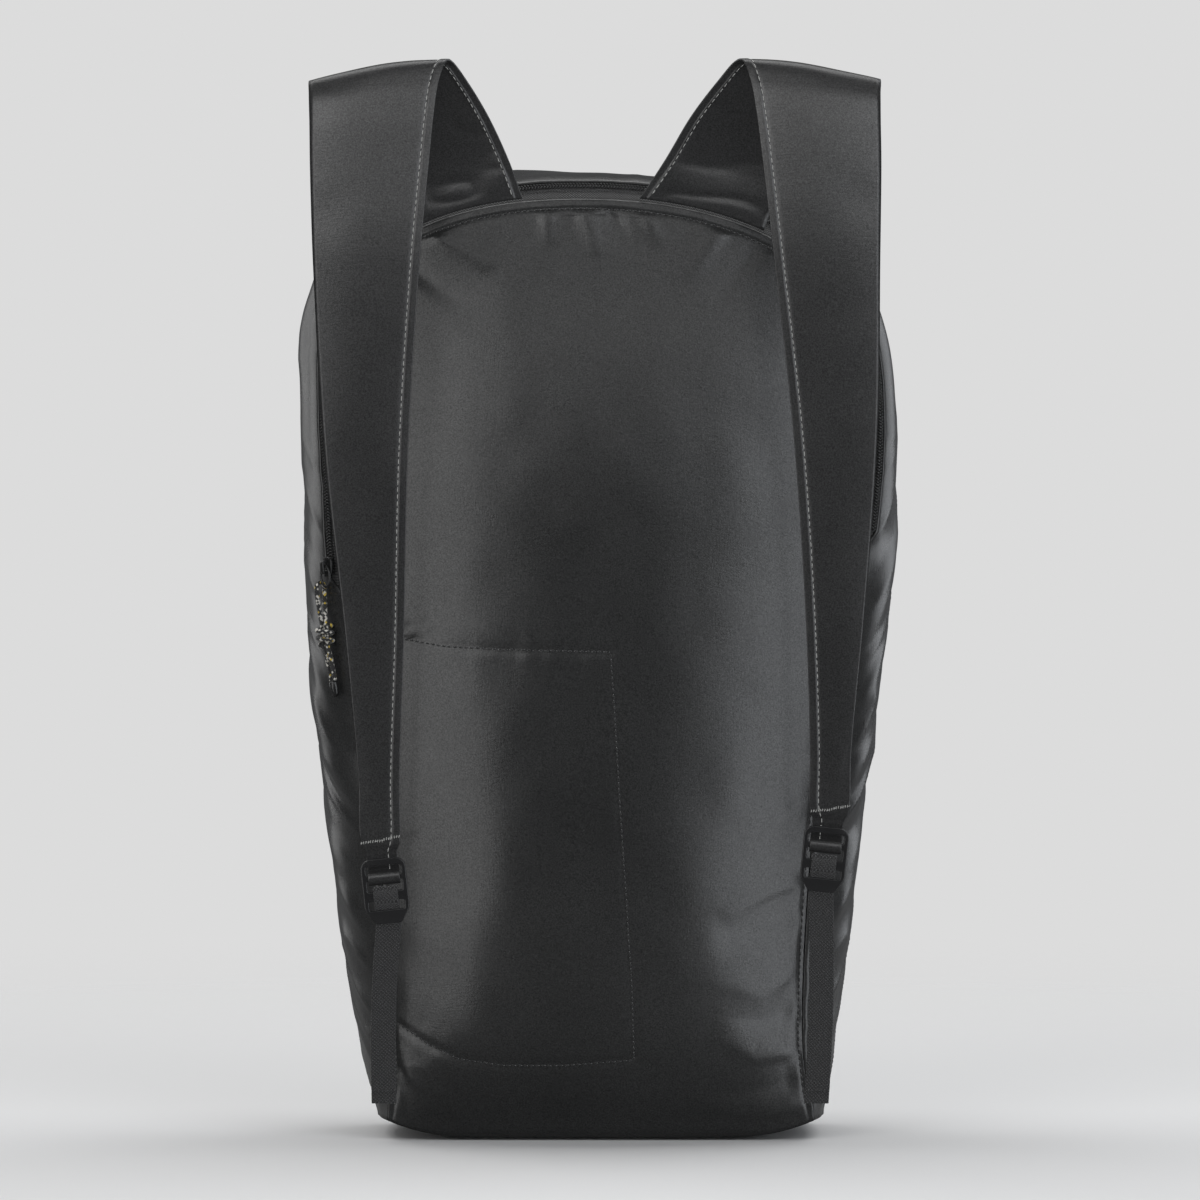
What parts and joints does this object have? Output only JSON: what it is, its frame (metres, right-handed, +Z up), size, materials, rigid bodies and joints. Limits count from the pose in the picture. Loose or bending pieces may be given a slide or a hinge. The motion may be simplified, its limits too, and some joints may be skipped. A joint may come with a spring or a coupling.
{
  "type": "packable backpack",
  "caption": "Thin coated-nylon packable daypack, stuffed full and upright, with an arched zip, flat shoulder straps, ladder locks, adjuster webbing and an inner stow pocket.",
  "frame": {"origin": "on the surface that the bag stands on, under the middle of the box round everything but the pull cord", "axes": "+Z up, -Y the way that the back panel and its straps face, -X the wearer's left strap and the zip's slider"},
  "size_m": [0.2692, 0.155, 0.482],
  "materials": {
    "body_nylon": "thin coated nylon, near-black charcoal with a soft sheen",
    "strap_nylon": "the same nylon doubled, a little more matte",
    "webbing": "ribbed black webbing, matte",
    "zip_tape": "woven black tape, matte",
    "zip_coil": "black coil",
    "slider_paint": "black paint on cast metal",
    "pull_cord": "braided black cord with pale flecks",
    "cord_tip": "black moulded tip",
    "lock_plastic": "black moulded plastic, satin"
  },
  "bodies": {
    "root": {"back_panel": "body_nylon", "front_panel": "body_nylon", "gusset": "body_nylon", "base_panel": "body_nylon", "stow_pocket": "body_nylon", "zip_tape": "zip_tape", "zip_chain": "zip_coil", "zip_slider": "slider_paint", "pull_ring": "slider_paint", "pull_cord": "pull_cord", "cord_knot": "pull_cord", "cord_tip": "cord_tip", "left_shoulder_strap": "strap_nylon", "right_shoulder_strap": "strap_nylon", "left_ladder_lock": "lock_plastic", "right_ladder_lock": "lock_plastic", "left_webbing": "webbing", "right_webbing": "webbing"}
  },
  "joints": []
}
